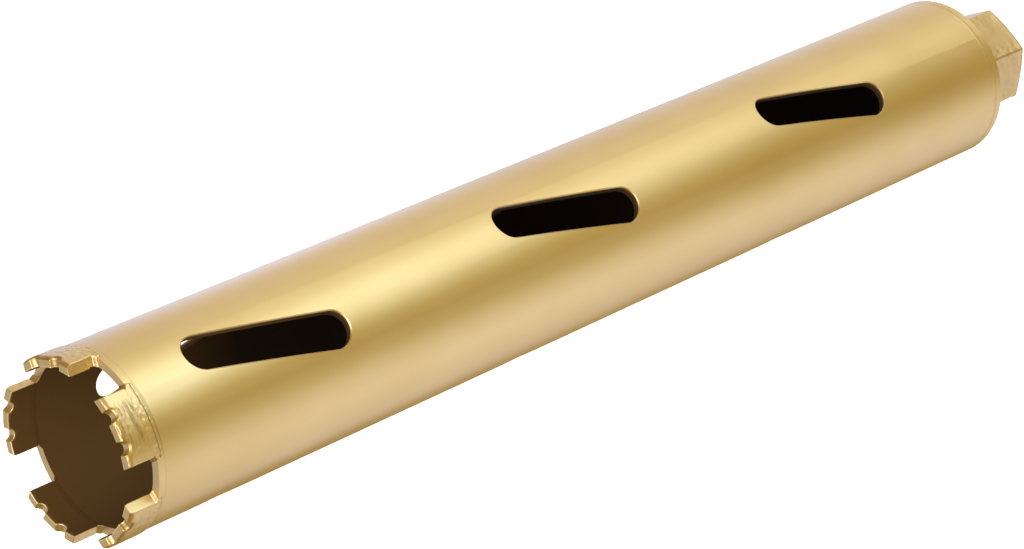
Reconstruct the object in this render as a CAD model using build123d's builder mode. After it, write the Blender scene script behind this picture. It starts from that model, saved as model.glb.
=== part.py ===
from build123d import *
from math import cos, degrees, radians, sin, sqrt, tan
import os

# Segmented diamond core bit, standing on its spindle hub with the crown up.
# The origin is the centre of the hub's seat face and +Z runs along the axis to the crown.
# All sizes are in millimetres and all angles in degrees.

# Barrel tube
tube_od = 52.0
tube_wall = 2.5
barrel_length = 357.9  # back plate's outer face to the crown-side rim

# Slots through the barrel wall: three rows of tilted obrounds
slot_rows = 3
slots_per_row = 3
slot_length = 52.3
slot_width = 10.7
slot_tilt = 11.8  # the crown end leans towards the next row
slot_pitch = 114.6
first_slot_below_rim = 46.2  # rim to the middle of the nearest slot
slot_edge_break = 0.3

# Crown: sintered segments, each on its own weld bead
segment_count = 5
segment_width = 19.0
segment_outside = 0.4  # how far it stands proud of the tube, outside
segment_inside = 0.3  # and inside
crown_height = 9.0  # rim to the tooth tips
first_segment_angle = -14.7
notches_per_segment = 2
notch_spacing = 9.1  # round the outside of the segment
notch_radius = 1.8
notch_depth = 1.6
bead_height = 1.5
bead_overhang = 1.0  # past each end of the segment
bead_inset = 0.15  # below the segment's faces, outside and inside

# Back plate and its weld to the tube
plate_rim_thickness = 3.0
plate_spigot_depth = 2.0  # reach into the tube, past the weld
plate_rear_chamfer = 0.5
plate_clearance = 0.1  # radial, spigot to tube
plate_weld_width = 1.5
plate_weld_proud = 0.12

# Spindle hub
hub_flats = 30.0
hub_length = 26.5
hub_seat_diameter = 28.0
hub_chamfer_angle = 20.0
hub_corner_angle = -23.1
hub_spigot_diameter = 24.0
hub_clearance = 0.05  # radial, spigot to back plate
thread_minor_diameter = 19.3  # M22 x 2.5, the female thread's inner diameter
thread_major_diameter = 22.0
thread_mouth_margin = 0.2  # how far the mouth's chamfer is wider than the thread, radially
hub_weld_leg = 3.0
hub_weld_lip = 0.2  # what the bead's slope leaves upright at its thin edge

# Worked out from the sizes above
tube_radius = tube_od / 2
tube_inner_radius = tube_radius - tube_wall
rim_z = hub_length + barrel_length
plate_weld_z = hub_length + plate_rim_thickness
tube_bottom_z = plate_weld_z + plate_weld_width
plate_top_z = tube_bottom_z + plate_spigot_depth
segment_outer_radius = tube_radius + segment_outside
segment_inner_radius = tube_inner_radius - segment_inside
bead_outer_radius = segment_outer_radius - bead_inset
bead_inner_radius = segment_inner_radius + bead_inset
tip_z = rim_z + crown_height
hub_corner_radius = hub_flats / sqrt(3)
past = 1.0  # how far a cutter runs past what it cuts

os.makedirs("parts", exist_ok=True)


def direction(angle):
    """The level direction that points outwards at this angle round the axis."""
    return Vector(cos(radians(angle)), sin(radians(angle)), 0)


def level(z, angle):
    """A level plane on the axis, turned so that its X points outwards at the angle."""
    return Plane(origin=(0, 0, z), x_dir=direction(angle), z_dir=(0, 0, 1))


def radial(z, angle):
    """An upright plane on the axis that faces outwards at the angle, with its X up."""
    return Plane(origin=(0, 0, z), x_dir=(0, 0, 1), z_dir=direction(angle))


def at_radius(edges, radius):
    """The edges that lie on a cylinder of this radius round the axis."""
    def distance(edge):
        middle = edge.position_at(0.5)
        return sqrt(middle.X**2 + middle.Y**2)
    return [edge for edge in edges if abs(distance(edge) - radius) < 0.01]


# Barrel tube, with the slots through its wall
with BuildPart() as barrel_tube:
    with BuildSketch(Plane.XY.offset(tube_bottom_z)):
        Circle(tube_radius)
        Circle(tube_inner_radius, mode=Mode.SUBTRACT)
    extrude(amount=rim_z - tube_bottom_z)
    for row in range(slot_rows):
        for place in range(slots_per_row):
            slot_z = rim_z - first_slot_below_rim - place * slot_pitch
            with BuildSketch(radial(slot_z, row * 360 / slot_rows)):
                SlotOverall(slot_length, slot_width, rotation=-slot_tilt)
            extrude(amount=tube_radius + past, mode=Mode.SUBTRACT)
            slot_edges = at_radius(barrel_tube.edges(Select.LAST), tube_radius)
            chamfer(slot_edges, slot_edge_break)
barrel_tube.part.label = "barrel_tube"
export_step(barrel_tube.part, "parts/barrel_tube.step")


# Crown: each segment is a piece of ring cut square at both ends and notched across its tips.
# It stands on a weld bead that follows its outline and runs down to the rim at both ends.
notch_step = degrees(notch_spacing / segment_outer_radius)
for number in range(segment_count):
    angle = first_segment_angle + number * 360 / segment_count
    along_end = Axis((0, 0, 0), direction(angle))

    with BuildPart() as weld_bead:
        with BuildSketch(level(rim_z, angle)):
            Circle(bead_outer_radius)
            Circle(bead_inner_radius, mode=Mode.SUBTRACT)
            with Locations((bead_outer_radius / 2, 0)):
                Rectangle(bead_outer_radius + past, segment_width + 2 * bead_overhang,
                          mode=Mode.INTERSECT)
        extrude(amount=bead_height)
        top_ends = weld_bead.edges().group_by(Axis.Z)[-1].filter_by(along_end)
        chamfer(top_ends, bead_overhang)
    weld_bead.part.label = f"weld_bead_{number + 1}"
    export_step(weld_bead.part, f"parts/weld_bead_{number + 1}.step")

    with BuildPart() as segment:
        with BuildSketch(level(rim_z + bead_height, angle)):
            Circle(segment_outer_radius)
            Circle(segment_inner_radius, mode=Mode.SUBTRACT)
            with Locations((segment_outer_radius / 2, 0)):
                Rectangle(segment_outer_radius + past, segment_width, mode=Mode.INTERSECT)
        extrude(amount=crown_height - bead_height)
        for notch in range(notches_per_segment):
            notch_angle = angle + (notch - (notches_per_segment - 1) / 2) * notch_step
            with BuildSketch(radial(tip_z + notch_radius - notch_depth, notch_angle)):
                Circle(notch_radius)
            extrude(amount=segment_outer_radius + past, mode=Mode.SUBTRACT)
    segment.part.label = f"segment_{number + 1}"
    export_step(segment.part, f"parts/segment_{number + 1}.step")


# Back plate: a disc as wide as the tube, with a spigot that centres it in the tube's end
with BuildPart() as back_plate:
    with BuildSketch(Plane.XY.offset(hub_length)):
        Circle(tube_radius)
    extrude(amount=plate_rim_thickness)
    chamfer(back_plate.edges().group_by(Axis.Z)[0], plate_rear_chamfer)
    with BuildSketch(Plane.XY.offset(plate_weld_z)):
        Circle(tube_inner_radius - plate_clearance)
    extrude(amount=plate_top_z - plate_weld_z)
    with BuildSketch(Plane.XY.offset(hub_length)):
        Circle(hub_spigot_diameter / 2 + hub_clearance)
    extrude(amount=plate_top_z - hub_length, mode=Mode.SUBTRACT)
back_plate.part.label = "back_plate"
export_step(back_plate.part, "parts/back_plate.step")


# Weld between the back plate and the tube: it fills the groove and stands a little proud
with BuildPart() as plate_weld:
    with BuildSketch(Plane.XY.offset(plate_weld_z)):
        Circle(tube_radius + plate_weld_proud)
        Circle(tube_inner_radius, mode=Mode.SUBTRACT)
    extrude(amount=plate_weld_width)
plate_weld.part.label = "plate_weld"
export_step(plate_weld.part, "parts/plate_weld.step")


# Spindle hub: hexagon bar, chamfered at the seat, with a spigot in the back plate
# and a bore right through that the spindle's thread is cut in
with BuildPart() as hex_hub:
    with BuildSketch(level(0, hub_corner_angle)):
        RegularPolygon(hub_flats / 2, side_count=6, major_radius=False)
    extrude(amount=hub_length)
    with BuildSketch(Plane.XZ):
        wide = hub_corner_radius + past
        rise = (wide - hub_seat_diameter / 2) * tan(radians(hub_chamfer_angle))
        with BuildLine():
            Polyline((hub_seat_diameter / 2, 0), (wide, rise), (wide, 0), close=True)
        make_face()
    revolve(axis=Axis.Z, mode=Mode.SUBTRACT)
    with BuildSketch(Plane.XY.offset(hub_length)):
        Circle(hub_spigot_diameter / 2)
    extrude(amount=plate_top_z - hub_length)
    with BuildSketch():
        Circle(thread_minor_diameter / 2)
    extrude(amount=plate_top_z, mode=Mode.SUBTRACT)
    mouth = at_radius(hex_hub.edges().group_by(Axis.Z)[0], thread_minor_diameter / 2)
    chamfer(mouth, (thread_major_diameter - thread_minor_diameter) / 2 + thread_mouth_margin)
hex_hub.part.label = "hex_hub"
export_step(hex_hub.part, "parts/hex_hub.step")


# Fillet weld round the foot of the hub, on the back plate's outer face
with BuildPart() as hub_weld:
    with BuildSketch(level(hub_length, hub_corner_angle)):
        RegularPolygon(hub_flats / 2, side_count=6, major_radius=False)
        offset(amount=hub_weld_leg)
    extrude(amount=-hub_weld_leg)
    chamfer(hub_weld.edges().group_by(Axis.Z)[0], hub_weld_leg - hub_weld_lip)
    with BuildSketch(level(hub_length, hub_corner_angle)):
        RegularPolygon(hub_flats / 2, side_count=6, major_radius=False)
    extrude(amount=-hub_weld_leg, mode=Mode.SUBTRACT)
hub_weld.part.label = "hub_weld"
export_step(hub_weld.part, "parts/hub_weld.step")
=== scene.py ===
"""Diamond core bit: finishes, weld metal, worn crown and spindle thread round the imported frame.

Everything is in metres in the frame's own axes: the hub's seat is at the origin, and +Z runs
to the crown.
"""
from itertools import product
from math import ceil, cos, pi, radians, sin, tan

import bmesh
import bpy
from bpy.props import FloatProperty, FloatVectorProperty, IntProperty, PointerProperty
from mathutils import Matrix, Vector, noise


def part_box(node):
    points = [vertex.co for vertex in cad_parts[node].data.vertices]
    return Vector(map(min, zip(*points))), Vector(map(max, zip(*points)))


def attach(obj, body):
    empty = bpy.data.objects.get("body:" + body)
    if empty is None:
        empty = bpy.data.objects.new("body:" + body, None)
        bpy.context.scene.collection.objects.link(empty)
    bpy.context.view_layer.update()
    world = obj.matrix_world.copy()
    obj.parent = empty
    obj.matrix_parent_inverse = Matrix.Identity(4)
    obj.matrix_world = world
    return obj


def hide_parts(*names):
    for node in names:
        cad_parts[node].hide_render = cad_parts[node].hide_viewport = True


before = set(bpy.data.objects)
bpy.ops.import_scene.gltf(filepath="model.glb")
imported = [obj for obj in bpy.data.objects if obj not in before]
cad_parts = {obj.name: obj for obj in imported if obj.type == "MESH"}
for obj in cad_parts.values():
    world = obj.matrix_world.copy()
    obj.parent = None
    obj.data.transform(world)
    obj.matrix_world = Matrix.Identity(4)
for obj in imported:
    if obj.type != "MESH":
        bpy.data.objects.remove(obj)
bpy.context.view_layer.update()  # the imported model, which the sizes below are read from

bl_info = {
    "name": "Diamond Core Bit",
    "version": (1, 0, 0),
    "blender": (4, 5, 0),
    "location": "3D View > Sidebar > Core Bit",
    "description": "Dresses a packed core bit in lacquer, weld metal and worn segments",
    "category": "Object",
}

MM = 0.001
BODY = "root"

# Read from the frame
TUBE_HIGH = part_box("barrel_tube")[1]
TUBE_RADIUS = TUBE_HIGH.x
RIM_Z = TUBE_HIGH.z
TIP_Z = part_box("segment_1")[1].z
HUB_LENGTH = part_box("back_plate")[0].z
HUB_TOP_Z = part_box("hex_hub")[1].z

# Barrel: the turned line under the crown, the spot where its painted shade is strongest, and the
# painted shade far down inside the tube
LINE_BELOW_RIM = 2.35 * MM
LINE_FLOOR = 0.05 * MM  # half the width of its floor
LINE_MOUTH = 0.3 * MM  # and of its mouth
SHADE_SPOT_BEARING = radians(-12)
LINE_SHADE_SPOT = (TUBE_RADIUS * cos(SHADE_SPOT_BEARING), TUBE_RADIUS * sin(SHADE_SPOT_BEARING),
              RIM_Z - LINE_BELOW_RIM)
SHADE_SPOT_REACH = (5 * MM, 13 * MM)  # from that spot: where the painted shade starts to fade, and has faded to its least
DEEP_SHADE_STARTS = 45 * MM  # below the rim
DEEP_SHADE_WHOLE = 70 * MM
TURNING_LENGTH = 14 * MM  # how far a turning line runs round the barrel
TURNING_PITCH = 0.3 * MM
PEEL_SIZE = 0.9 * MM
PEEL_DEPTH = 0.012 * MM
# Depths under the tube's skin: where the film is painted brown as shade and where it is gold, where
# it has given out and where it is whole, and the same again on the rim
WALL_SHADE_FADE = (0.9 * MM, 0.3 * MM)
FILM_FADE = (1.4 * MM, 0.5 * MM)
RIM_FADE = (2.47 * MM, 2.4 * MM)
RIM_SKIN = (0.06 * MM, 0.02 * MM)  # depths below the rim's face between which the rim's film starts
PLATE_SKIN = (0.5 * MM, 1.0 * MM)  # heights over the plate's face between which its film gives out
CLOUD_SIZE = 25 * MM  # across a cloud of thicker film

# Crown: how high each bead climbs above the rim, how deeply its segment is marked, and how dark
# the painted shade in its marks is
CROWN_SCATTER = ((1.5 * MM, 1.0), (2.6 * MM, 0.35), (1.5 * MM, 0.6), (1.5 * MM, 0.6),
                 (1.2 * MM, 0.3))
BEAD_LAP = 0.45 * MM  # how far a bead laps its segment's foot
BEAD_TAIL = 1.3 * MM  # how far it runs on below its toe, thinned out on the tube
TAIL_PROUD = 0.12 * MM  # how far that tail stands proud of the tube
SKIN_STEP = 0.02 * MM  # how far a bead's outer skin stays behind its segment's
END_LAP = 0.25 * MM  # how far a bead's ends lie inside its segment's, at the top
NOTCH_EASE = 0.08 * MM  # how softly a notch meets the tips
CRACK_BELOW_TOE = 0.3 * MM
CRACK_FLOOR = 0.05 * MM  # half the width of its floor
CRACK_MOUTH = 0.36 * MM  # and of its mouth
CRACK_DEPTH = 0.1 * MM
CRACK_WANDER_SIZE = 1.3 * MM
TOE_FADE = (0.4 * MM, 0.1 * MM)  # depths below the toe: where a bead is thinned out, and whole
SLOPE_HEIGHT = 1.1 * MM  # how far above the rim a bead's inside slopes
FLARE_HEIGHT = 1.0 * MM  # and its ends
BORE_RETREAT = 0.4 * MM  # how far its inside draws back into the tube's wall,
BORE_RETREAT_DROP = 0.3 * MM  # this far below the rim
STREAK_FADE = 2.5 * MM  # over which the drag marks give out
EDGE_HIGHLIGHT_FADE = (0.3 * MM, 0.12 * MM)  # depths below the tips: where the painted highlight ends, and is whole

# Welds round the back plate and the hub
SEAM_COLUMNS = 720
SEAM_ROWS = 10
SEAM_LAP = 0.35 * MM  # how far the seam laps over the plate and over the tube
SEAM_SUNK = 0.04 * MM  # how far its edges lie under the tube's skin
SEAM_CROWN = 0.08 * MM  # how far its middle rises above its edges
SEAM_ROOT = 0.3 * MM  # how far its laps reach out from the bore
RIPPLE_WANDER = 9.0  # how unevenly the ripples follow one another, in radians
RIPPLE_WANDER_SIZE = 6.25 * MM

# Hub
THREAD_MOUTH_MARGIN = 0.2 * MM
THREAD_PICK = 0.1 * MM  # what is this close to the plain bore is cut to the thread
MOUTH_FADE = 0.3 * MM  # how far past the thread the film is still thinning out
BORE_ROWS_PER_PITCH = 12
HUB_COLUMNS = 240
HUB_ROWS = 40
FADED_ROWS = 3  # the rows at each end of a side over which its hollows fade
CORNER_SHARPNESS = 150  # the higher, the less a corner is rounded
CORNER_RISE = 1.2 * MM  # how far past the flats a side counts as a whole corner
HUB_SAG = 0.22 * MM  # how deep the broad hollows in the bar's flats are
HUB_SAG_SIZE = 4.5 * MM
HUB_DRIP = 0.3 * MM  # and the small ones in the lacquer along its corners
HUB_DRIP_SIZE = 1.1 * MM
SEAT_SOFT = 0.35 * MM  # how far the seat's edge is softened each way
SEAT_RISE = 0.02 * MM  # and how far it rises
CHAMFER_BACK = 0.1 * MM  # the point that softens the chamfer's outer edge lies this far in,
CHAMFER_UP = 0.08 * MM  # this far above the chamfer,
CHAMFER_TOP = 0.45 * MM  # and the hub's side starts this far above it

# Studio
FLOOR_HALF_WIDTH = 12.0
FLOOR_DROP = 0.05 * MM  # below the hub's seat
CLIP_START = 0.05

# Banks of softboxes. The barrel mirrors what is below the horizon, and the tips what is above it.
# A bank has its bearings from the camera's, its elevations, its boxes' size, its watts and a tint.
HIGH, LOW = -20.0, -44.0
BOX = (0.42, 0.75)
PANEL = (1.0, 0.7)
SOFTBOX_REACH = 1.2
SOFTBOXES = {
    "front": ((0,), (HIGH, LOW), BOX, 0.3, (0.8, 1.0, 0.1)),
    "key": ((20, 40), (HIGH,), BOX, 4.25, (0.7, 1.0, 1.5)),
    "key_foot": ((40, 60), (LOW,), BOX, 1.05, (0.85, 1.0, 1.2)),
    "key_side": ((60,), (HIGH,), BOX, 0.7, (0.78, 1.0, 1.05)),
    "right": ((80, 100, 120), (HIGH, LOW), BOX, 2.1, (0.85, 1.0, 1.3)),
    "far_right": ((140, 160), (HIGH, LOW), BOX, 1.7, (0.77, 1.0, 1.7)),
    "far_left": ((240, 260), (HIGH, LOW), BOX, 1.5, (0.8, 1.0, 1.4)),
    "left": ((280, 300), (HIGH, LOW), BOX, 2.2, (0.8, 1.0, 1.55)),
    "left_front": ((320,), (HIGH, LOW), BOX, 0.7, (0.7, 1.0, 1.05)),
    "top_back": ((180,), (38.0,), PANEL, 1.2, (1.0, 1.0, 1.0)),
    "top_front": ((0,), (60.0,), PANEL, 10.0, (1.0, 1.0, 1.0)),
}
AIR_TINT = (1.5, 1.0, 0.22)


# Colours and settings that a user would change

def linear(hex_colour):
    """An sRGB hex colour as linear red, green, blue and alpha."""
    parts = [int(hex_colour[i:i + 2], 16) / 255 for i in (1, 3, 5)]
    return (*(c / 12.92 if c <= 0.04045 else ((c + 0.055) / 1.055) ** 2.4 for c in parts), 1.0)


def length(name, size, description):
    """A length property, given in millimetres and kept in metres."""
    return FloatProperty(name=name, description=description, default=size * MM, min=0.0,
                         unit="LENGTH", precision=5)


def angle(name, size, description):
    """An angle property, given in degrees."""
    return FloatProperty(name=name, description=description, default=radians(size), subtype="ANGLE")


def colour(name, hex_colour, description):
    """A colour property, given as sRGB hex."""
    return FloatVectorProperty(name=name, description=description, default=linear(hex_colour),
                               size=4, min=0.0, max=1.0, subtype="COLOR")


class CoreBitCrown(bpy.types.PropertyGroup):
    """Sizes of the crown's segments and of the weld beads under them."""
    count: IntProperty(name="Segments", description="Number of segments round the rim",
                       default=5, min=1)
    first_bearing: angle("First Bearing", -14.7, "Direction of the first segment's middle")
    width: length("Width", 19.0, "Segment width, between its square ends")
    wall: length("Wall", 2.5, "Wall of the tube")
    outside: length("Outside", 0.4, "How far a segment stands proud of the tube, outside")
    inside: length("Inside", 0.3, "How far a segment stands proud of the tube, inside")
    inner_wear: length("Inner Wear", 0.16, "How far wear has drawn the inner face back")
    edge: length("Edge", 0.2, "Radius that wear has left along a segment's edges")
    tip_wear: length("Tip Wear", 0.65, "How far wear has drawn the outside in, at the tips")
    tip_wear_reach: length("Tip Wear Reach", 1.6, "How far below the tips that wear starts")
    notch_spacing: length("Notch Spacing", 9.1, "Between a segment's notches, round the outside")
    notch_radius: length("Notch Radius", 1.8, "Radius of a notch")
    notch_depth: length("Notch Depth", 1.6, "Depth of a notch below the tips")
    streak_depth: length("Streak Depth", 0.1, "Depth of the drag marks round a segment")
    lump_depth: length("Lump Depth", 0.05, "Depth of the hollows that pressing leaves")
    bead_overhang: length("Bead Overhang", 1.0, "How far a bead reaches past its segment's ends")
    bead_inset: length("Bead Inset", 0.02, "How far a bead stays behind its segment's inner face")
    bead_skirt: length("Bead Skirt", 2.1, "How far a bead, with its tail, runs down the tube")


class CoreBitHub(bpy.types.PropertyGroup):
    """Sizes of the hexagon hub and of its spindle thread."""
    flats: length("Flats", 30.0, "Width across the flats")
    corner_bearing: angle("Corner Bearing", -23.1, "Direction of one corner")
    seat_diameter: length("Seat Diameter", 28.0, "Diameter of the flat seat")
    chamfer_angle: angle("Chamfer Angle", 20.0, "Slope of the chamfer round the seat")
    spigot_diameter: length("Spigot Diameter", 24.0, "Diameter of the part inside the back plate")
    pitch: length("Thread Pitch", 2.5, "Pitch of the spindle thread")
    minor: length("Thread Minor", 19.3, "Inner diameter of the thread")
    major: length("Thread Major", 22.0, "Outer diameter of the thread")


class CoreBitFinish(bpy.types.PropertyGroup):
    """Colours of the lacquer, of what stains it and of what it leaves bare."""
    gold: colour("Lacquer", "#e9c67c", "Gold lacquer")
    gold_deep: colour("Lacquer, Thick", "#e5c174", "Gold lacquer where it lies thick")
    # Painted highlight: a paler, greyer gold for what faces up
    worn: colour("Lacquer, Worn", "#cebb99", "Gold lacquer where it is thin, on upward faces")
    # Painted highlight: a pale gold along the tips' inner edge
    highlighted: colour("Lacquer, Highlighted", "#fff0cc", "Gold lacquer rubbed pale along an edge")
    # Painted shade: the brown of the turned line, the slots' walls and the drag marks; also the
    # crack's own dark line and the weld's darker patches
    crack_and_shade_brown: colour("Shade And Crack Line", "#7a5c20", "Lacquer that has run into marks and cracks")
    # Partly painted shade: bare steel, whose dark brown also stands for the shade inside the tube
    inside: colour("Bare Inside", "#644719", "Heat-browned steel inside the tube")
    # Painted shade: the dark brown far down inside the tube, where light hardly reaches
    scale: colour("Mill Scale", "#3a2814", "Dark scale deep inside the tube")
    hub: colour("Lacquer, Hub", "#d9b46b", "Gold lacquer on the hub, where it lies thickest")
    bore: colour("Bare Thread", "#8c8478", "Oiled steel in the hub's bore")


class CoreBitStudio(bpy.types.PropertyGroup):
    """The camera, the lights and the floor."""
    aim: FloatVectorProperty(name="Aim", description="The point that the camera looks at", size=3,
                             default=(-0.000863, -0.003357, 0.230775), subtype="TRANSLATION")
    distance: length("Distance", 937.44, "From the aim to the camera")
    bearing: angle("Bearing", -14.42, "Direction of the camera from the aim")
    elevation: angle("Elevation", 40.91, "Height of the camera above the horizon")
    roll: angle("Roll", 113.6, "Turn of the camera about its line of sight")
    lens: FloatProperty(name="Lens", description="Focal length in millimetres", default=114.35)
    floor: colour("Floor", "#ffffff", "The floor's paper")
    fibre: colour("Floor, Fibre", "#f8f8f8", "The fibres in the floor's paper")
    world: FloatProperty(name="World", description="Strength of the all-round light", default=0.22)


# Node trees

def add(tree, kind, sources=(), **settings):
    """Adds a node with its settings, and fills its inputs from values, sockets or other nodes."""
    node = tree.nodes.new(kind)
    for name, value in settings.items():
        setattr(node, name, value)
    pairs = sources.items() if isinstance(sources, dict) else enumerate(sources)
    for key, source in pairs:
        if isinstance(source, bpy.types.Node):
            source = source.outputs[0]
        if isinstance(source, bpy.types.NodeSocket):
            tree.links.new(source, node.inputs[key])
        else:
            node.inputs[key].default_value = source
    return node


# The kinds of node that the trees below use most
MATH = "ShaderNodeMath"
VECTOR = "ShaderNodeVectorMath"
NOISE = "ShaderNodeTexNoise"
RANGE = "ShaderNodeMapRange"
MIX = "ShaderNodeMix"
SPLIT = "ShaderNodeSeparateXYZ"
JOIN = "ShaderNodeCombineXYZ"


def apart(tree, first, second):
    """How far apart two values are."""
    difference = add(tree, MATH, (first, second), operation="SUBTRACT")
    return add(tree, MATH, (difference,), operation="ABSOLUTE")


def shape_tree(name, numbers, pieces=()):
    """A Geometry Nodes tree that takes pieces, numbers and a material; returns it and them."""
    tree = bpy.data.node_groups.new(name, "GeometryNodeTree")
    kinds = {**dict.fromkeys(pieces, "Geometry"), **dict.fromkeys(numbers, "Float"),
             "Material": "Material"}
    for label, kind in kinds.items():
        tree.interface.new_socket(label, in_out="INPUT", socket_type=f"NodeSocket{kind}")
    tree.interface.new_socket("Geometry", in_out="OUTPUT", socket_type="NodeSocketGeometry")
    return tree, tree.nodes.new("NodeGroupInput").outputs


def close_tree(tree, geometry, material):
    """Ends a tree: real geometry, shaded smooth, with its material set."""
    real = add(tree, "GeometryNodeRealizeInstances", (geometry,))
    smooth = add(tree, "GeometryNodeSetShadeSmooth", {"Geometry": real})
    finished = add(tree, "GeometryNodeSetMaterial", {"Geometry": smooth, "Material": material})
    add(tree, "NodeGroupOutput", (finished,))
    return tree


def crown_block_tree():
    """A block bent round the axis, notched across its top and worn: one segment or one bead.

    It leaves two attributes. The first is for painted light: under 1 where shade is painted in the
    drag marks and in the crack (with the crack's own dark line), 1 on the faces, and 2 where a
    highlight is painted on the inner edge of the tips. The second is "lacquer", which is 0 on the
    bare inner face.
    """
    tree, given = shape_tree("Crown Block", (
        "Width", "Outer Radius", "Inner Radius", "Foot", "Height", "Bearing", "Edge", "Tip Wear",
        "Tip Wear Reach", "Notch Spacing", "Notch Radius", "Notch Depth", "Rim Level", "Toe Drop",
        "Toe Radius", "Toe Wander", "Inner Slope", "End Draw", "Shade And Crack Line", "Streak Length",
        "Streak Pitch", "Streak Depth", "Streak Middle", "Streak Reach", "Lump Size", "Lump Depth",
        "Grain", "Seed"))
    depth = add(tree, MATH, (given["Outer Radius"], given["Inner Radius"]), operation="SUBTRACT")
    size = add(tree, JOIN, (given["Width"], depth, given["Height"]))
    steps = add(tree, VECTOR, {
        0: size, "Scale": add(tree, MATH, (1.0, given["Grain"]), operation="DIVIDE")},
        operation="SCALE")
    steps = add(tree, SPLIT, (steps,))
    block = add(tree, "GeometryNodeMeshCube", {
        "Size": size, "Vertices X": steps.outputs["X"], "Vertices Y": steps.outputs["Y"],
        "Vertices Z": steps.outputs["Z"]})

    # Round the block's edges: what lies outside the core box is drawn back onto the edge radius
    place = add(tree, "GeometryNodeInputPosition")
    half = add(tree, VECTOR, {0: size, "Scale": 0.5}, operation="SCALE")
    core = add(tree, VECTOR, (half, add(tree, JOIN, (given["Edge"],) * 3)), operation="SUBTRACT")
    core_low = add(tree, VECTOR, {0: core, "Scale": -1.0}, operation="SCALE")
    nearest = add(tree, VECTOR, (add(tree, VECTOR, (place, core), operation="MINIMUM"), core_low),
                  operation="MAXIMUM")
    outwards = add(tree, VECTOR, (add(tree, VECTOR, (place, nearest), operation="SUBTRACT"),),
                   operation="NORMALIZE")
    rounding = add(tree, VECTOR, {0: outwards, "Scale": given["Edge"]}, operation="SCALE")
    rounded = add(tree, SPLIT, (add(tree, VECTOR, (nearest, rounding), operation="ADD"),))
    across, through, up = rounded.outputs

    # Wear draws the outer face in towards the tips, and the inner face out a third as much
    top = add(tree, MATH, (given["Height"], 0.5), operation="MULTIPLY")
    worn_from = add(tree, MATH, (top, given["Tip Wear Reach"]), operation="SUBTRACT")
    worn_share = add(tree, RANGE, (up, worn_from, top))
    worn_share = add(tree, MATH, (worn_share, 2.0), operation="POWER")
    outer_share = add(tree, MATH, (add(tree, MATH, (through, depth), operation="DIVIDE"), 0.5),
                      operation="ADD")
    drawn_in = add(tree, RANGE, (outer_share, 0.0, 1.0, -1 / 3, 1.0))
    drawn_in = add(tree, MATH, (add(tree, MATH, (drawn_in, worn_share), operation="MULTIPLY"),
                                given["Tip Wear"]), operation="MULTIPLY")
    middle = add(tree, MATH, (add(tree, MATH, (given["Outer Radius"], given["Inner Radius"]),
                                  operation="ADD"), 0.5), operation="MULTIPLY")
    radius = add(tree, MATH, (add(tree, MATH, (middle, through), operation="ADD"), drawn_in),
                 operation="SUBTRACT")

    # Bend it: the width stays square to the bearing, so that the ends are parallel
    turn = add(tree, MATH, (add(tree, MATH, (across, radius), operation="DIVIDE"),),
               operation="ARCSINE")

    # Notches: the top sinks by a round groove on each side of the middle, and the rest follows
    half_spacing = add(tree, MATH, (given["Notch Spacing"], 0.5), operation="MULTIPLY")
    notch_turn = add(tree, MATH, (half_spacing, given["Outer Radius"]), operation="DIVIDE")
    off_notch = add(tree, MATH, (add(tree, MATH, (add(tree, MATH, (turn,), operation="ABSOLUTE"),
                                                  notch_turn), operation="SUBTRACT"), radius),
                    operation="MULTIPLY")
    chord = add(tree, MATH, (add(tree, MATH, (given["Notch Radius"],) * 2, operation="MULTIPLY"),
                             add(tree, MATH, (off_notch,) * 2, operation="MULTIPLY")),
                operation="SUBTRACT")
    chord = add(tree, MATH, (add(tree, MATH, (chord, 0.0), operation="MAXIMUM"),), operation="SQRT")
    above = add(tree, MATH, (given["Notch Radius"], given["Notch Depth"]), operation="SUBTRACT")
    groove = add(tree, MATH, (add(tree, MATH, (chord, above), operation="SUBTRACT"), 0.0,
                              NOTCH_EASE), operation="SMOOTH_MAX")
    level = add(tree, MATH, (add(tree, MATH, (up, given["Height"]), operation="DIVIDE"), 0.5),
                operation="ADD")
    sunk = add(tree, MATH, (groove, add(tree, MATH, (level, 2.0), operation="POWER")),
               operation="MULTIPLY")
    lifted = add(tree, MATH, (top, given["Foot"]), operation="ADD")
    height = add(tree, MATH, (add(tree, MATH, (up, lifted), operation="ADD"), sunk),
                 operation="SUBTRACT")

    # Toe: a little below the rim a bead thins out to the tube, past a narrow crack that wanders
    wander = add(tree, NOISE, {
        "Vector": add(tree, JOIN, (across, 0.0, 0.0)), "W": given["Seed"],
        "Scale": 1 / CRACK_WANDER_SIZE, "Detail": 1.0}, noise_dimensions="4D")
    wander = add(tree, MATH, (add(tree, MATH, (wander, 0.5), operation="SUBTRACT"),
                              given["Toe Wander"]), operation="MULTIPLY")
    over_rim = add(tree, MATH, (height, given["Rim Level"]), operation="SUBTRACT")
    over_toe = add(tree, MATH, (add(tree, MATH, (over_rim, given["Toe Drop"]), operation="ADD"),
                                wander), operation="ADD")
    ledge = add(tree, RANGE, (over_toe, -TOE_FADE[0], -TOE_FADE[1], 1.0, 0.0))
    stands = add(tree, MATH, (given["Outer Radius"], given["Toe Radius"]), operation="SUBTRACT")
    crack = add(tree, RANGE, (apart(tree, over_toe, -CRACK_BELOW_TOE), CRACK_FLOOR, CRACK_MOUTH,
                              1.0, 0.0))
    toe = add(tree, MATH, (ledge, stands, add(tree, MATH, (crack, CRACK_DEPTH),
                                              operation="MULTIPLY")), operation="MULTIPLY_ADD")
    radius = add(tree, MATH, (radius, add(tree, MATH, (toe, outer_share), operation="MULTIPLY")),
                 operation="SUBTRACT")

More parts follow.
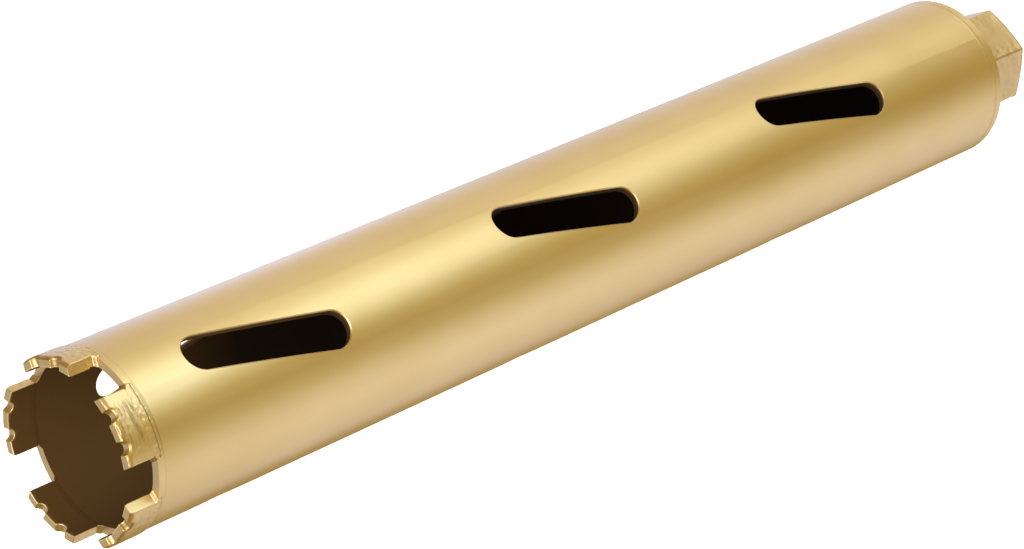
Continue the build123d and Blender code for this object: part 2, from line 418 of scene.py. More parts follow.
    # Inside, it slopes back to the tube's bore; at its ends, it runs out along the rim
    slope = add(tree, RANGE, (over_rim, 0.0, SLOPE_HEIGHT, given["Inner Slope"], 0.0))
    hidden = add(tree, RANGE, (over_rim, -BORE_RETREAT_DROP, 0.0, BORE_RETREAT, 0.0))
    radius = add(tree, MATH, (
        add(tree, MATH, (1.0, outer_share), operation="SUBTRACT"),
        add(tree, MATH, (slope, hidden), operation="ADD"), radius), operation="MULTIPLY_ADD")
    flare = add(tree, RANGE, (over_rim, 0.0, FLARE_HEIGHT, 0.0, given["End Draw"]),
                interpolation_type="SMOOTHSTEP")
    turn = add(tree, MATH, (turn, add(tree, MATH, (1.0, flare), operation="SUBTRACT")),
               operation="MULTIPLY")
    bearing = add(tree, MATH, (given["Bearing"], turn), operation="SUBTRACT")
    bent_x = add(tree, MATH, (add(tree, MATH, (bearing,), operation="COSINE"), radius),
                 operation="MULTIPLY")
    bent_y = add(tree, MATH, (add(tree, MATH, (bearing,), operation="SINE"), radius),
                 operation="MULTIPLY")
    bent = add(tree, JOIN, (bent_x, bent_y, height))

    # Wear: drag marks round the middle of the outer face, and low lumps all over but inside
    streaked = add(tree, RANGE, (
        apart(tree, across, given["Streak Middle"]),
        add(tree, MATH, (given["Streak Reach"], STREAK_FADE), operation="SUBTRACT"),
        given["Streak Reach"], 1.0, 0.0))
    on_outside = add(tree, RANGE, (outer_share, 0.85, 0.97))
    streaked = add(tree, MATH, (streaked, on_outside), operation="MULTIPLY")
    along = add(tree, VECTOR, (
        add(tree, JOIN, (across, through, height)),
        add(tree, JOIN, (given["Streak Length"], given["Streak Pitch"], given["Streak Pitch"]))),
        operation="DIVIDE")
    streaks = add(tree, NOISE, {"Vector": along, "W": given["Seed"], "Scale": 1.0, "Detail": 2.0,
                                "Roughness": 0.6}, noise_dimensions="4D")
    streaks = add(tree, MATH, (add(tree, RANGE, (streaks, 0.4, 0.52, 1.0, 0.0)), streaked),
                  operation="MULTIPLY")
    lumps = add(tree, NOISE, {
        "Vector": bent, "W": given["Seed"], "Detail": 1.0,
        "Scale": add(tree, MATH, (1.0, given["Lump Size"]), operation="DIVIDE")},
        noise_dimensions="4D")
    lumps = add(tree, MATH, (add(tree, RANGE, (lumps, 0.35, 0.65)),
                             add(tree, RANGE, (outer_share, 0.03, 0.15))), operation="MULTIPLY")
    inwards = add(tree, MATH, (
        add(tree, MATH, (streaks, given["Streak Depth"]), operation="MULTIPLY"),
        add(tree, MATH, (lumps, given["Lump Depth"]), operation="MULTIPLY")), operation="ADD")
    inwards = add(tree, MATH, (inwards, -1.0), operation="MULTIPLY")

    # The face inside is bare, all but its edge at the tips, which keeps its lacquer and a painted
    # highlight
    near_tip = add(tree, RANGE, (up, *(
        add(tree, MATH, (top, below), operation="SUBTRACT") for below in EDGE_HIGHLIGHT_FADE)))
    coated = add(tree, MATH, (add(tree, RANGE, (outer_share, 0.01, 0.05)), near_tip),
                 operation="MAXIMUM")
    # Painted shadow in the crack, over the crack's own dark line, and painted shade in the drag
    # marks
    crack_line_and_shadow = add(tree, MATH, (crack, on_outside), operation="MULTIPLY")
    mark_and_crack_shade = add(tree, MATH, (add(tree, MATH, (streaks, 0.45), operation="MULTIPLY"),
                               add(tree, MATH, (crack_line_and_shadow, 0.6), operation="MULTIPLY")),
                  operation="MAXIMUM")
    edge_highlight = add(tree, MATH, (add(tree, RANGE, (outer_share, 0.02, 0.16, 1.0, 0.0)), near_tip),
                     operation="MULTIPLY")
    polish = add(tree, MATH, (add(tree, MATH, (1.0, edge_highlight), operation="ADD"),
                              add(tree, MATH, (mark_and_crack_shade, given["Shade And Crack Line"]), operation="MULTIPLY")),
                 operation="SUBTRACT")

    # All of this is worked out on the flat block, and kept while it is bent
    shape = add(tree, "GeometryNodeCaptureAttribute", {"Geometry": block})
    kept = {"Bent": bent, "Inwards": inwards, "Lacquer": coated, "Polish": polish}
    for name in kept:
        shape.capture_items.new("VECTOR" if name == "Bent" else "FLOAT", name)
    for name, source in kept.items():
        tree.links.new(source.outputs[0], shape.inputs[name])
    placed = add(tree, "GeometryNodeSetPosition", {
        "Geometry": shape.outputs["Geometry"], "Position": shape.outputs["Bent"]})
    for name in ("Lacquer", "Polish"):
        placed = add(tree, "GeometryNodeStoreNamedAttribute", {
            "Geometry": placed, "Name": name.lower(), "Value": shape.outputs[name]},
            data_type="FLOAT", domain="POINT")
    worn = add(tree, "GeometryNodeSetPosition", {
        "Geometry": placed, "Offset": add(tree, VECTOR, {
            0: add(tree, "GeometryNodeInputNormal"), "Scale": shape.outputs["Inwards"]},
            operation="SCALE")})
    return close_tree(tree, worn, given["Material"])


def weld_tree():
    """Lays the ripples and the lumps of a weld run over a plain bead that goes round the axis."""
    tree, given = shape_tree(
        "Weld Run", ("Ripples", "Ripple Height", "Lump Size", "Lump Height", "Seed"), ("Bead",))
    place = add(tree, "GeometryNodeInputPosition")
    axes = add(tree, SPLIT, (place,))
    bearing = add(tree, MATH, (axes.outputs["Y"], axes.outputs["X"]), operation="ARCTAN2")
    wander = add(tree, NOISE, {"Vector": place, "W": given["Seed"],
                               "Scale": 1 / RIPPLE_WANDER_SIZE, "Detail": 1.0},
                 noise_dimensions="4D")
    phase = add(tree, MATH, (bearing, given["Ripples"],
                             add(tree, MATH, (wander, RIPPLE_WANDER), operation="MULTIPLY")),
                operation="MULTIPLY_ADD")
    ripple = add(tree, MATH, (add(tree, MATH, (phase,), operation="SINE"), 1.0),
                 operation="SUBTRACT")
    ripple = add(tree, MATH, (ripple, given["Ripple Height"]), operation="MULTIPLY")
    lump = add(tree, NOISE, {
        "Vector": place, "W": given["Seed"], "Detail": 2.0,
        "Scale": add(tree, MATH, (1.0, given["Lump Size"]), operation="DIVIDE")},
        noise_dimensions="4D")
    lump = add(tree, MATH, (add(tree, MATH, (lump, 1.0), operation="SUBTRACT"),
                            given["Lump Height"]), operation="MULTIPLY")
    offset = add(tree, VECTOR, {0: add(tree, "GeometryNodeInputNormal"),
                                "Scale": add(tree, MATH, (ripple, lump), operation="ADD")},
                 operation="SCALE")
    laid = add(tree, "GeometryNodeSetPosition", {"Geometry": given["Bead"], "Offset": offset})
    return close_tree(tree, laid, given["Material"])


def thread_tree():
    """Cuts a metric female thread, with a chamfer at each mouth, into the bore of a hub."""
    tree, given = shape_tree(
        "Spindle Thread", ("Pitch", "Minor Radius", "Major Radius", "Mouth Radius", "Top"),
        ("Hub",))
    axes = add(tree, SPLIT, (add(tree, "GeometryNodeInputPosition"),))
    level = axes.outputs["Z"]
    flat = add(tree, JOIN, (axes.outputs["X"], axes.outputs["Y"], 0.0))
    radius = add(tree, VECTOR, (flat,), operation="LENGTH").outputs["Value"]
    bearing = add(tree, MATH, (axes.outputs["Y"], axes.outputs["X"]), operation="ARCTAN2")
    turns = add(tree, MATH, (add(tree, MATH, (level, given["Pitch"]), operation="DIVIDE"),
                             add(tree, MATH, (bearing, 2 * pi), operation="DIVIDE")),
                operation="SUBTRACT")
    phase = add(tree, MATH, (turns,), operation="FRACT")
    from_root = apart(tree, phase, 0.5)
    # The root is flat for P/8 and the crest for P/4, as on any metric thread
    cut = add(tree, RANGE, (from_root, 1 / 16, 3 / 8, given["Major Radius"], given["Minor Radius"]))
    to_top = add(tree, MATH, (given["Top"], level), operation="SUBTRACT")
    to_end = add(tree, MATH, (level, to_top), operation="MINIMUM")
    mouth = add(tree, MATH, (given["Mouth Radius"], to_end), operation="SUBTRACT")
    wanted = add(tree, MATH, (cut, mouth), operation="MAXIMUM")
    scale = add(tree, MATH, (wanted, radius), operation="DIVIDE")
    placed = add(tree, VECTOR, (add(tree, VECTOR, {0: flat, "Scale": scale}, operation="SCALE"),
                                add(tree, JOIN, (0.0, 0.0, level))), operation="ADD")
    in_bore = add(tree, MATH, (radius, add(tree, MATH, (given["Minor Radius"], THREAD_PICK),
                                           operation="ADD")), operation="LESS_THAN")
    threaded = add(tree, "GeometryNodeSetPosition", {
        "Geometry": given["Hub"], "Selection": in_bore, "Position": placed})
    return close_tree(tree, threaded, given["Material"])


# Pieces

def run_tree(piece, tree, values):
    """Runs a tree on a piece, keeps the plain mesh that it makes and takes the modifiers off."""
    modifier = piece.modifiers.new(tree.name, "NODES")
    modifier.node_group = tree
    for item in tree.interface.items_tree:
        if item.in_out == "INPUT" and item.name in values:
            modifier[item.identifier] = values[item.name]
    graph = bpy.context.evaluated_depsgraph_get()
    made = bpy.data.meshes.new_from_object(
        piece.evaluated_get(graph), preserve_all_data_layers=True, depsgraph=graph)
    if not made.polygons:
        raise RuntimeError(f"{tree.name} made no faces for {piece.name}")
    piece.modifiers.clear()
    piece.data = made
    made.name = piece.name


def new_piece(name, mesh=None):
    """An object at the origin, for a mesh that holds its own place."""
    piece = bpy.data.objects.new(name, mesh or bpy.data.meshes.new(name))
    bpy.context.scene.collection.objects.link(piece)
    return piece


def hand_over(piece, slot, *nodes):
    """The piece rides on the body and stands for the CAD nodes."""
    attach(piece, BODY)
    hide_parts(*nodes)


def node_copy(name, node, voxel):
    """A CAD node's shape as one closed skin of even faces, ready for a relief."""
    mesh = bpy.data.meshes.new_from_object(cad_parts[node])
    shell = bmesh.new()
    shell.from_mesh(mesh)
    bmesh.ops.remove_doubles(shell, verts=shell.verts, dist=0.001 * MM)
    shell.to_mesh(mesh)
    shell.free()
    mesh.materials.clear()
    piece = new_piece(name, mesh)
    even = piece.modifiers.new("Even Faces", "REMESH")
    even.mode = "VOXEL"
    even.voxel_size = voxel
    soft = piece.modifiers.new("Soft Edges", "SMOOTH")
    soft.factor = 0.5
    soft.iterations = 4
    return piece


def coat_nodes(material, *nodes):
    """Gives CAD nodes a material in place of their own."""
    for node in nodes:
        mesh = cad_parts[node].data
        mesh.materials.clear()
        mesh.materials.append(material)


# Materials

def start_material(name):
    """A material with an empty tree; returns it, its tree and its Principled shader."""
    material = bpy.data.materials.get(name)
    if material:
        bpy.data.materials.remove(material)
    material = bpy.data.materials.new(name)
    material.use_nodes = True
    tree = material.node_tree
    tree.nodes.clear()
    shader = add(tree, "ShaderNodeBsdfPrincipled")
    add(tree, "ShaderNodeOutputMaterial", (shader,))
    return material, tree, shader


def link(tree, source, socket):
    """Feeds a shader's socket from a node or a socket."""
    output = source.outputs[0] if isinstance(source, bpy.types.Node) else source
    tree.links.new(output, socket)


def mix_colour(factor, first, second):
    """The settings of a colour Mix node, whose colour sockets are the seventh and the eighth."""
    return {0: factor, 6: first, 7: second}


def start_lacquer(name, thick=None):
    """Starts a material as gold spray lacquer: a satin metal flake under a clear film.

    The flake gives one broad, soft highlight, and the film over it a weak, paler one. Where thick
    is a colour, the film lies that thick all over. Returns the material, its tree, its shader,
    the place on the piece and the film's colour, for the finish to complete.
    """
    finish = bpy.context.scene.core_bit_finish
    material, tree, shader = start_material(name)
    place = add(tree, "ShaderNodeTexCoord").outputs["Object"]

    # Cloudy film thickness, and a painted highlight: what faces up is painted paler and greyer
    cloud = add(tree, NOISE, {"Vector": place, "Scale": 1 / CLOUD_SIZE, "Detail": 3.0})
    cloud = add(tree, RANGE, (cloud, 0.35, 0.68))
    gold = add(tree, MIX, mix_colour(cloud, thick or finish.gold, thick or finish.gold_deep),
               data_type="RGBA")
    facing = add(tree, SPLIT, (add(tree, "ShaderNodeNewGeometry").outputs["Normal"],))
    top_lit = add(tree, RANGE, (facing.outputs["Z"], 0.5, 0.9))
    gold = add(tree, MIX, mix_colour(top_lit, gold.outputs[2], finish.worn), data_type="RGBA")
    shader.inputs["Metallic"].default_value = 1.0
    shader.inputs["Coat Weight"].default_value = 1.0
    shader.inputs["Coat Roughness"].default_value = 0.35
    return material, tree, shader, place, gold.outputs[2]


def orange_peel(tree, shader, place, size, depth):
    """Gives a film the low relief of orange peel, and returns it."""
    peel = add(tree, NOISE, {"Vector": place, "Scale": 1 / size, "Detail": 3.0, "Roughness": 0.6})
    bump = add(tree, "ShaderNodeBump", {"Strength": 0.6, "Distance": depth, "Height": peel})
    link(tree, bump, shader.inputs["Normal"])
    return peel


def vary_sheen(tree, shader, peel):
    """Makes a whole film a little duller on the crests of its orange peel."""
    link(tree, add(tree, RANGE, (peel, 0.3, 0.7, 0.38, 0.5)), shader.inputs["Roughness"])


def leave_bare(tree, shader, coated, film, deep_shade=0.0):
    """Takes the lacquer off where coated is 0: what is left is rough, heat-browned steel, its
    dark brown partly painted shade.

    Where the last argument is 1, the steel is painted darker, as shade far down the tube.
    """
    finish = bpy.context.scene.core_bit_finish
    # Bare steel, its dark brown partly painted shade
    bare = add(tree, MIX, mix_colour(deep_shade, finish.inside, finish.scale), data_type="RGBA")
    base = add(tree, MIX, mix_colour(coated, bare.outputs[2], film), data_type="RGBA")
    link(tree, base.outputs[2], shader.inputs["Base Color"])
    link(tree, coated, shader.inputs["Metallic"])
    link(tree, coated, shader.inputs["Coat Weight"])
    link(tree, add(tree, RANGE, (coated, 0.0, 1.0, 1.0, 0.44)), shader.inputs["Roughness"])


def radius_of(tree, place):
    """How far a place is from the axis, and how high it is."""
    axes = add(tree, SPLIT, (place,))
    level = add(tree, JOIN, (axes.outputs["X"], axes.outputs["Y"], 0.0))
    return add(tree, VECTOR, (level,), operation="LENGTH").outputs["Value"], axes.outputs["Z"]


def gold_lacquer():
    """Gold spray lacquer on turned steel tube.

    Turning lines draw the highlight out round the barrel, and one line under the crown is painted
    in as shade. The slots' walls are thinly coated, their film painted brown as shade, and the
    inside is bare steel, its brown partly painted shade.
    """
    material, tree, shader, place, gold = start_lacquer("gold_spray_lacquer_on_steel")
    radius, level = radius_of(tree, place)
    crack_and_shade_brown = bpy.context.scene.core_bit_finish.crack_and_shade_brown

    # Painted shade along the turned line under the crown, strongest beside one segment
    ring = add(tree, RANGE, (apart(tree, level, RIM_Z - LINE_BELOW_RIM), LINE_FLOOR, LINE_MOUTH,
                             1.0, 0.0))
    from_shade_spot = add(tree, VECTOR, (place, LINE_SHADE_SPOT), operation="DISTANCE").outputs["Value"]
    line_shade_strength = add(tree, RANGE, (from_shade_spot, *SHADE_SPOT_REACH, 0.5, 0.12))
    ring = add(tree, MATH, (ring, line_shade_strength), operation="MULTIPLY")
    gold = add(tree, MIX, mix_colour(ring, gold, crack_and_shade_brown), data_type="RGBA")

    # Painted shade: the film is painted brown on the slots' walls. It gives out inside, but not on
    # the rim or the plate
    outer_skin = add(tree, RANGE, (radius, *(TUBE_RADIUS - depth for depth in WALL_SHADE_FADE)))
    at_rim = add(tree, RANGE, (level, *(RIM_Z - depth for depth in RIM_SKIN)))
    at_plate = add(tree, RANGE, (level, *(HUB_LENGTH + rise for rise in PLATE_SKIN), 1.0, 0.0))
    outer_skin = add(tree, MATH, (outer_skin, add(tree, MATH, (at_rim, at_plate), operation="ADD")),
                     operation="MAXIMUM")
    film = add(tree, MIX, mix_colour(outer_skin, crack_and_shade_brown, gold.outputs[2]), data_type="RGBA")
    coated = add(tree, RANGE, (radius, *(TUBE_RADIUS - depth for depth in FILM_FADE)))
    on_rim = add(tree, RANGE, (radius, *(TUBE_RADIUS - depth for depth in RIM_FADE)))
    coated = add(tree, MATH, (coated, add(tree, MATH, (at_rim, on_rim, at_plate),
                                          operation="MULTIPLY_ADD")), operation="MAXIMUM")
    # Painted shade: the bare steel is painted darker far down the tube
    deep_shade = add(tree, RANGE, (level, RIM_Z - DEEP_SHADE_WHOLE, RIM_Z - DEEP_SHADE_STARTS, 1.0, 0.0))
    leave_bare(tree, shader, coated, film.outputs[2], deep_shade)

    # Turning lines, which run round the barrel, under a fine orange peel
    stretch = add(tree, VECTOR, (place, (1 / TURNING_LENGTH, 1 / TURNING_LENGTH,
                                         1 / TURNING_PITCH)), operation="MULTIPLY")
    lines = add(tree, NOISE, {"Vector": stretch, "Scale": 1.0, "Detail": 2.0, "Roughness": 0.6})
    peel = add(tree, NOISE, {"Vector": place, "Scale": 1 / PEEL_SIZE, "Detail": 2.0})
    surface = add(tree, MATH, (lines, 0.6, peel), operation="MULTIPLY_ADD")
    bump = add(tree, "ShaderNodeBump", {"Strength": 0.5, "Distance": PEEL_DEPTH, "Height": surface})
    link(tree, bump, shader.inputs["Normal"])
    return material


def lacquered_crown(name, grain_size, grain_depth):
    """The same lacquer on sintered bronze segments, or on the weld metal under them.

    It is painted dark as shade in the drag marks. In the crack along the tube it is dark, as the
    crack's own dark line with a painted shadow. It is painted pale as a highlight at the tips'
    inner edge, and the face inside the crown is bare.
    """
    finish = bpy.context.scene.core_bit_finish
    material, tree, shader, place, gold = start_lacquer(name)
    orange_peel(tree, shader, place, grain_size, grain_depth)
    polish = add(tree, "ShaderNodeAttribute", attribute_name="polish").outputs["Fac"]
    # Painted shade in the drag marks and the crack, with the crack's own dark line
    film = add(tree, MIX, mix_colour(polish, finish.crack_and_shade_brown, gold), data_type="RGBA")
    # Painted highlight along the tips' inner edge
    highlighted = add(tree, RANGE, (polish, 1.0, 1.6))
    film = add(tree, MIX, mix_colour(highlighted, film.outputs[2], finish.highlighted), data_type="RGBA")
    coated = add(tree, "ShaderNodeAttribute", attribute_name="lacquer").outputs["Fac"]
    leave_bare(tree, shader, coated, film.outputs[2])
    return material


def lacquered_weld():
    """Mild-steel weld metal under the same lacquer: lumpy, and a little darker in patches."""
    material, tree, shader, place, gold = start_lacquer("lacquered_steel_weld")
    vary_sheen(tree, shader, orange_peel(tree, shader, place, size=0.8 * MM, depth=0.06 * MM))
    crack_and_shade_brown = bpy.context.scene.core_bit_finish.crack_and_shade_brown
    # Darker patches at random, which don't follow the weld's lumps
    hollows = add(tree, NOISE, {"Vector": place, "Scale": 1 / (1.2 * MM), "Detail": 3.0})
    hollows = add(tree, RANGE, (hollows, 0.36, 0.5, 0.15, 0.0))
    film = add(tree, MIX, mix_colour(hollows, gold, crack_and_shade_brown), data_type="RGBA")
    link(tree, film.outputs[2], shader.inputs["Base Color"])
    return material


def hub_lacquer():
    """The same lacquer on hexagon bar, whose threaded bore is bare, oiled steel."""
    hub = bpy.context.scene.core_bit_hub
    finish = bpy.context.scene.core_bit_finish
    material, tree, shader, place, gold = start_lacquer("gold_spray_lacquer_on_hexagon_bar",
                                                        finish.hub)
    vary_sheen(tree, shader, orange_peel(tree, shader, place, size=1.1 * MM, depth=0.03 * MM))
    radius, _ = radius_of(tree, place)
    in_bore = add(tree, RANGE, (radius, hub.major / 2, hub.major / 2 + MOUTH_FADE, 1.0, 0.0))
    base = add(tree, MIX, mix_colour(in_bore, gold, finish.bore), data_type="RGBA")
    link(tree, base.outputs[2], shader.inputs["Base Color"])
    return material


def studio_floor():
    """Matt seamless paper that glows: an even, almost white ground."""
    material, tree, shader = start_material("matt_white_paper")
    place = add(tree, "ShaderNodeTexCoord").outputs["Object"]
    fibre = add(tree, NOISE, {"Vector": place, "Scale": 1 / (2 * MM), "Detail": 2.0})
    studio = bpy.context.scene.core_bit_studio
    base = add(tree, MIX, mix_colour(fibre, studio.floor, studio.fibre), data_type="RGBA")
    link(tree, base.outputs[2], shader.inputs["Base Color"])
    link(tree, base.outputs[2], shader.inputs["Emission Color"])
    shader.inputs["Emission Strength"].default_value = 1.0
    shader.inputs["Roughness"].default_value = 0.9
    return material


# Meshes and values for the pieces

def lathe_mesh(name, profiles):
    """Joins closed profiles of radius and height, set at even steps round the axis, into a ring."""
    shell = bmesh.new()
    rings = []
    for column, profile in enumerate(profiles):
        bearing = 2 * pi * column / len(profiles)
        rings.append([shell.verts.new((r * cos(bearing), r * sin(bearing), z)) for r, z in profile])
    for here, there in zip(rings, rings[1:] + rings[:1]):
        for place in range(len(here)):
            after = (place + 1) % len(here)
            shell.faces.new((here[place], here[after], there[after], there[place]))
    bmesh.ops.recalc_face_normals(shell, faces=shell.faces)
    mesh = bpy.data.meshes.new(name)
    shell.to_mesh(mesh)
    shell.free()
    return mesh


def seam_mesh(wall):
    """A ring between the back plate and the tube, crowned outside and lapping over both."""
    low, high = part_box("plate_weld")
    foot = low.z - SEAM_LAP
    rise = high.z - low.z + 2 * SEAM_LAP
    profile = []
    for row in range(SEAM_ROWS + 1):
        share = row / SEAM_ROWS
        crowned = TUBE_RADIUS - SEAM_SUNK + SEAM_CROWN * sin(pi * share)
        profile.append((crowned, foot + rise * share))
    bore = TUBE_RADIUS - wall
    profile += [(bore + SEAM_ROOT, high.z + SEAM_LAP), (bore, high.z), (bore, low.z),
                (bore + SEAM_ROOT, foot)]
    return lathe_mesh("seam_loft", [profile] * SEAM_COLUMNS)


def hub_side(hub, bearing):
    """How far the hexagon's side is from the axis in a direction, with its corners rounded."""
    flats = (cos(bearing - hub.corner_bearing - radians(30 + 60 * side)) for side in range(6))
    reach = sum(max(0.0, facing) ** CORNER_SHARPNESS for facing in flats)
    return hub.flats / 2 / reach ** (1 / CORNER_SHARPNESS)


def hub_hollow(hub, place, side):
    """How deep the bar's hollows and the lacquer's drips are at a place on a side."""
    corner = min(1.0, max(0.0, (side - hub.flats / 2) / CORNER_RISE))
    return (HUB_SAG * (1 + noise.noise(place / HUB_SAG_SIZE)) / 2
            + HUB_DRIP * corner * (1 + noise.noise(place / HUB_DRIP_SIZE)) / 2)


def hub_mesh(hub):
    """The hub as a loft: one closed profile for each direction round the axis."""
    seat = hub.seat_diameter / 2
    spigot = hub.spigot_diameter / 2
    mouth = hub.major / 2 + THREAD_MOUTH_MARGIN
    slope = tan(hub.chamfer_angle)
    rows = ceil(HUB_TOP_Z / hub.pitch * BORE_ROWS_PER_PITCH)
    profiles = []
    for column in range(HUB_COLUMNS):
        bearing = 2 * pi * column / HUB_COLUMNS
        side = hub_side(hub, bearing)
        edge = (side - seat) * slope
        # The chamfer runs straight up to lead, and is softened from there to start
        lead = max(side - SEAT_SOFT, seat + 1.2 * SEAT_SOFT)
        start = edge + CHAMFER_TOP
        profile = [(mouth, 0.0), (seat - SEAT_SOFT, 0.0), (seat, SEAT_RISE),
                   (seat + SEAT_SOFT, SEAT_SOFT * slope), (lead, (lead - seat) * slope),
                   (side - CHAMFER_BACK, edge + CHAMFER_UP), (side, start)]
        for step in range(1, HUB_ROWS + 1):
            z = start + (HUB_LENGTH - start) * step / HUB_ROWS
            place = Vector((side * cos(bearing), side * sin(bearing), z))
            fade = min(1.0, step / FADED_ROWS, (HUB_ROWS - step) / FADED_ROWS)
            profile.append((side - hub_hollow(hub, place, side) * fade, z))
        profile += [(spigot, HUB_LENGTH), (spigot, HUB_TOP_Z), (mouth, HUB_TOP_Z)]
        profile += [(hub.minor / 2, HUB_TOP_Z * (1 - (row + 0.5) / rows)) for row in range(rows)]
        profiles.append(profile)
    return lathe_mesh("hub_loft", profiles)


def crown_values(crown):
    """What the crown tree is given for any segment, and for any bead."""
    outer = TUBE_RADIUS + crown.outside
    inner = TUBE_RADIUS - crown.wall - crown.inside + crown.inner_wear
    shared = {
        "Notch Spacing": crown.notch_spacing, "Notch Radius": crown.notch_radius,
        "Streak Length": 5.5 * MM, "Streak Pitch": 0.62 * MM, "Streak Middle": -1.0 * MM,
        "Toe Radius": TUBE_RADIUS + TAIL_PROUD}
    segment = {
        **shared, "Width": crown.width, "Outer Radius": outer, "Inner Radius": inner,
        "Edge": crown.edge, "Tip Wear": crown.tip_wear, "Tip Wear Reach": crown.tip_wear_reach,
        "Notch Depth": crown.notch_depth, "Rim Level": 0.0, "Toe Drop": 0.0, "Toe Wander": 0.0,
        "Inner Slope": 0.0, "End Draw": 0.0, "Streak Reach": 6.5 * MM, "Lump Size": 1.6 * MM,
        "Lump Depth": crown.lump_depth, "Grain": 0.13 * MM,
        "Material": lacquered_crown("lacquered_sintered_bronze",
                                    grain_size=0.45 * MM, grain_depth=0.03 * MM)}
    width = crown.width + 2 * crown.bead_overhang
    bead = {
        **shared, "Width": width, "Outer Radius": outer - SKIN_STEP,
        "Inner Radius": inner + crown.bead_inset, "Foot": RIM_Z - crown.bead_skirt,
        "Edge": 0.4 * MM, "Tip Wear": 0.0, "Tip Wear Reach": 1.0 * MM, "Notch Depth": 0.0,
        "Rim Level": RIM_Z, "Toe Drop": crown.bead_skirt - BEAD_TAIL, "Toe Wander": 0.7 * MM,
        "Inner Slope": crown.inside - crown.inner_wear - 2 * crown.bead_inset,
        "End Draw": 2 * (crown.bead_overhang + END_LAP) / width,
        "Streak Depth": 0.0, "Streak Reach": 0.0, "Lump Size": 1.1 * MM,
        "Lump Depth": 0.08 * MM, "Grain": 0.14 * MM,
        "Material": lacquered_crown("lacquered_segment_weld",
                                    grain_size=0.6 * MM, grain_depth=0.05 * MM)}
    return segment, bead


# Studio

def lay_floor():
    """A square of paper that the camera sees, but that casts no shadow and isn't reflected."""
    mesh = bpy.data.meshes.new("studio_floor")
    corners = [(FLOOR_HALF_WIDTH * x, FLOOR_HALF_WIDTH * y, -FLOOR_DROP)
               for x, y in ((-1, -1), (1, -1), (1, 1), (-1, 1))]
    mesh.from_pydata(corners, [], [(0, 1, 2, 3)])
    mesh.materials.append(studio_floor())
    floor = new_piece("studio_floor", mesh)
    floor.visible_glossy = False
    floor.visible_diffuse = False
    floor.visible_shadow = False


def direction(bearing, elevation):
    """The direction with this bearing round the axis and this height above the horizon."""
    return Vector((cos(bearing) * cos(elevation), sin(bearing) * cos(elevation), sin(elevation)))


def hang_softboxes(studio):
    """Hangs every bank's boxes round the aim, each one facing it."""
    aim = Vector(studio.aim)
    for name, (bearings, elevations, size, watts, tint) in SOFTBOXES.items():
        light = bpy.data.lights.new(name, "AREA")
        light.shape = "RECTANGLE"
        light.size, light.size_y = size
        light.energy = watts / (len(bearings) * len(elevations))
        light.color = tint
        for around, up in product(bearings, elevations):
            box = bpy.data.objects.new(name, light)
            bpy.context.scene.collection.objects.link(box)
            towards = direction(studio.bearing + radians(around), radians(up))
            box.location = aim + towards * SOFTBOX_REACH
            box.rotation_mode = "QUATERNION"
            box.rotation_quaternion = towards.to_track_quat("Z", "Y")
            box.visible_camera = False


def fill_air(studio):
    """A warm, even light from all round."""
    world = bpy.data.worlds.new("studio_air")
    bpy.context.scene.world = world
    world.use_nodes = True
    air = world.node_tree.nodes["Background"]
    air.inputs["Color"].default_value = (*AIR_TINT, 1)
    air.inputs["Strength"].default_value = studio.world


def place_camera(studio):
    """Sets the camera at its distance from the aim, rolled about its line of sight."""
    camera = bpy.data.objects.new("camera", bpy.data.cameras.new("camera"))
    bpy.context.scene.collection.objects.link(camera)
    camera.data.lens = studio.lens
    camera.data.clip_start = CLIP_START
    back = direction(studio.bearing, studio.elevation)
    camera.location = Vector(studio.aim) + back * studio.distance
    camera.rotation_mode = "QUATERNION"
    camera.rotation_quaternion = (back.to_track_quat("Z", "Y").to_matrix()
                                  @ Matrix.Rotation(-studio.roll, 3, "Z")).to_quaternion()
    bpy.context.scene.camera = camera


# Operators

class COREBIT_OT_barrel(bpy.types.Operator):
    """Finishes the barrel tube and the back plate, whose shapes are the frame's own"""
    bl_idname = "core_bit.barrel"
    bl_label = "Finish Barrel"

    def execute(self, context):
        coat_nodes(gold_lacquer(), "barrel_tube", "back_plate")
        return {"FINISHED"}


class COREBIT_OT_welds(bpy.types.Operator):
    """Lays the weld round the barrel's foot and the fillet weld round the hub"""
    bl_idname = "core_bit.welds"
    bl_label = "Lay Welds"

    def execute(self, context):
        material = lacquered_weld()
        tree = weld_tree()
        seam = new_piece("laid_plate_weld", seam_mesh(context.scene.core_bit_crown.wall))
        fillet = node_copy("laid_hub_weld", "hub_weld", voxel=0.22 * MM)
        runs = (
            (seam, "plate_weld", {"Ripples": 90.0, "Ripple Height": 0.006 * MM,
                                  "Lump Size": 2.2 * MM, "Lump Height": 0.06 * MM, "Seed": 1.0}),
            (fillet, "hub_weld", {"Ripples": 44.0, "Ripple Height": 0.1 * MM,
                                  "Lump Size": 3.0 * MM, "Lump Height": 0.3 * MM, "Seed": 2.0}))
        for piece, node, values in runs:
            run_tree(piece, tree, {**values, "Material": material})
            hand_over(piece, "weld_metal", node)
        return {"FINISHED"}


class COREBIT_OT_hub(bpy.types.Operator):
    """Makes the hexagon hub with its rounded corners and its spindle thread"""
    bl_idname = "core_bit.hub"
    bl_label = "Make Hub"

    def execute(self, context):
        hub = context.scene.core_bit_hub
        piece = new_piece("threaded_hub", hub_mesh(hub))
        run_tree(piece, thread_tree(), {
            "Pitch": hub.pitch, "Minor Radius": hub.minor / 2, "Major Radius": hub.major / 2,
            "Mouth Radius": hub.major / 2 + THREAD_MOUTH_MARGIN, "Top": HUB_TOP_Z,
            "Material": hub_lacquer()})
        hand_over(piece, "lacquered_steel", "hex_hub")
        return {"FINISHED"}


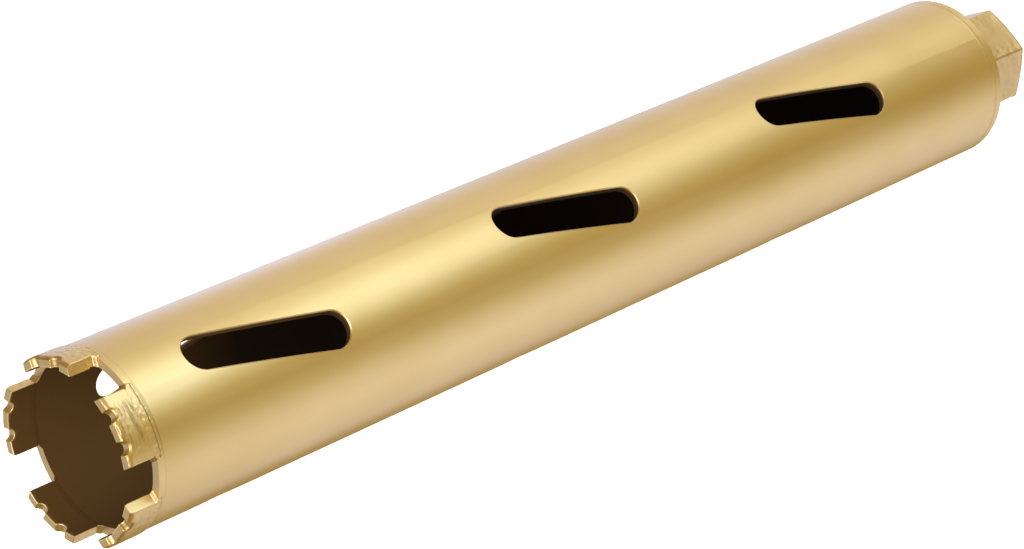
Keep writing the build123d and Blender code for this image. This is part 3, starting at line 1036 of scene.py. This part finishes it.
class COREBIT_OT_crown(bpy.types.Operator):
    """Makes the worn segments and the weld beads that they stand on"""
    bl_idname = "core_bit.crown"
    bl_label = "Make Crown"

    def execute(self, context):
        crown = context.scene.core_bit_crown
        tree = crown_block_tree()
        segment, bead = crown_values(crown)
        for number in range(crown.count):
            bearing = crown.first_bearing + 2 * pi * number / crown.count
            climb, drag = CROWN_SCATTER[number % len(CROWN_SCATTER)]
            segment_foot = RIM_Z + climb - BEAD_LAP
            heights = {
                "segment": {**segment, "Foot": segment_foot, "Height": TIP_Z - segment_foot,
                            "Streak Depth": crown.streak_depth * drag},
                "weld_bead": {**bead, "Height": RIM_Z + climb + BEAD_LAP - bead["Foot"]}}
            for name, values in heights.items():
                piece = new_piece(f"worn_{name}_{number + 1}")
                run_tree(piece, tree, {**values, "Bearing": bearing, "Shade And Crack Line": drag,
                                       "Seed": 10.0 + number})
                hand_over(piece, "diamond_segment" if name == "segment" else "weld_metal",
                          f"{name}_{number + 1}")
        return {"FINISHED"}


class COREBIT_OT_studio(bpy.types.Operator):
    """Makes the floor, the lights and the camera"""
    bl_idname = "core_bit.studio"
    bl_label = "Make Studio"

    def execute(self, context):
        studio = context.scene.core_bit_studio
        context.scene.view_settings.view_transform = "Standard"
        lay_floor()
        hang_softboxes(studio)
        fill_air(studio)
        place_camera(studio)
        return {"FINISHED"}


class COREBIT_PT_panel(bpy.types.Panel):
    """Lists the core bit's settings and operators"""
    bl_idname = "COREBIT_PT_panel"
    bl_label = "Diamond Core Bit"
    bl_space_type = "VIEW_3D"
    bl_region_type = "UI"
    bl_category = "Core Bit"

    def draw(self, context):
        for group in GROUPS:
            settings = getattr(context.scene, GROUPS[group])
            box = self.layout.box()
            for name in group.__annotations__:
                box.prop(settings, name)
        for operator in OPERATORS:
            self.layout.operator(operator.bl_idname)


GROUPS = {CoreBitCrown: "core_bit_crown", CoreBitHub: "core_bit_hub",
          CoreBitFinish: "core_bit_finish", CoreBitStudio: "core_bit_studio"}
OPERATORS = (COREBIT_OT_studio, COREBIT_OT_barrel, COREBIT_OT_hub, COREBIT_OT_welds,
             COREBIT_OT_crown)


def register():
    for kind in (*GROUPS, *OPERATORS, COREBIT_PT_panel):
        bpy.utils.register_class(kind)
    for group, name in GROUPS.items():
        setattr(bpy.types.Scene, name, PointerProperty(type=group))


def unregister():
    for name in GROUPS.values():
        delattr(bpy.types.Scene, name)
    for kind in reversed((*GROUPS, *OPERATORS, COREBIT_PT_panel)):
        bpy.utils.unregister_class(kind)


def main():
    register()
    bpy.ops.core_bit.studio()
    bpy.ops.core_bit.barrel()
    bpy.ops.core_bit.hub()
    bpy.ops.core_bit.welds()
    bpy.ops.core_bit.crown()


if __name__ == "__main__":
    main()
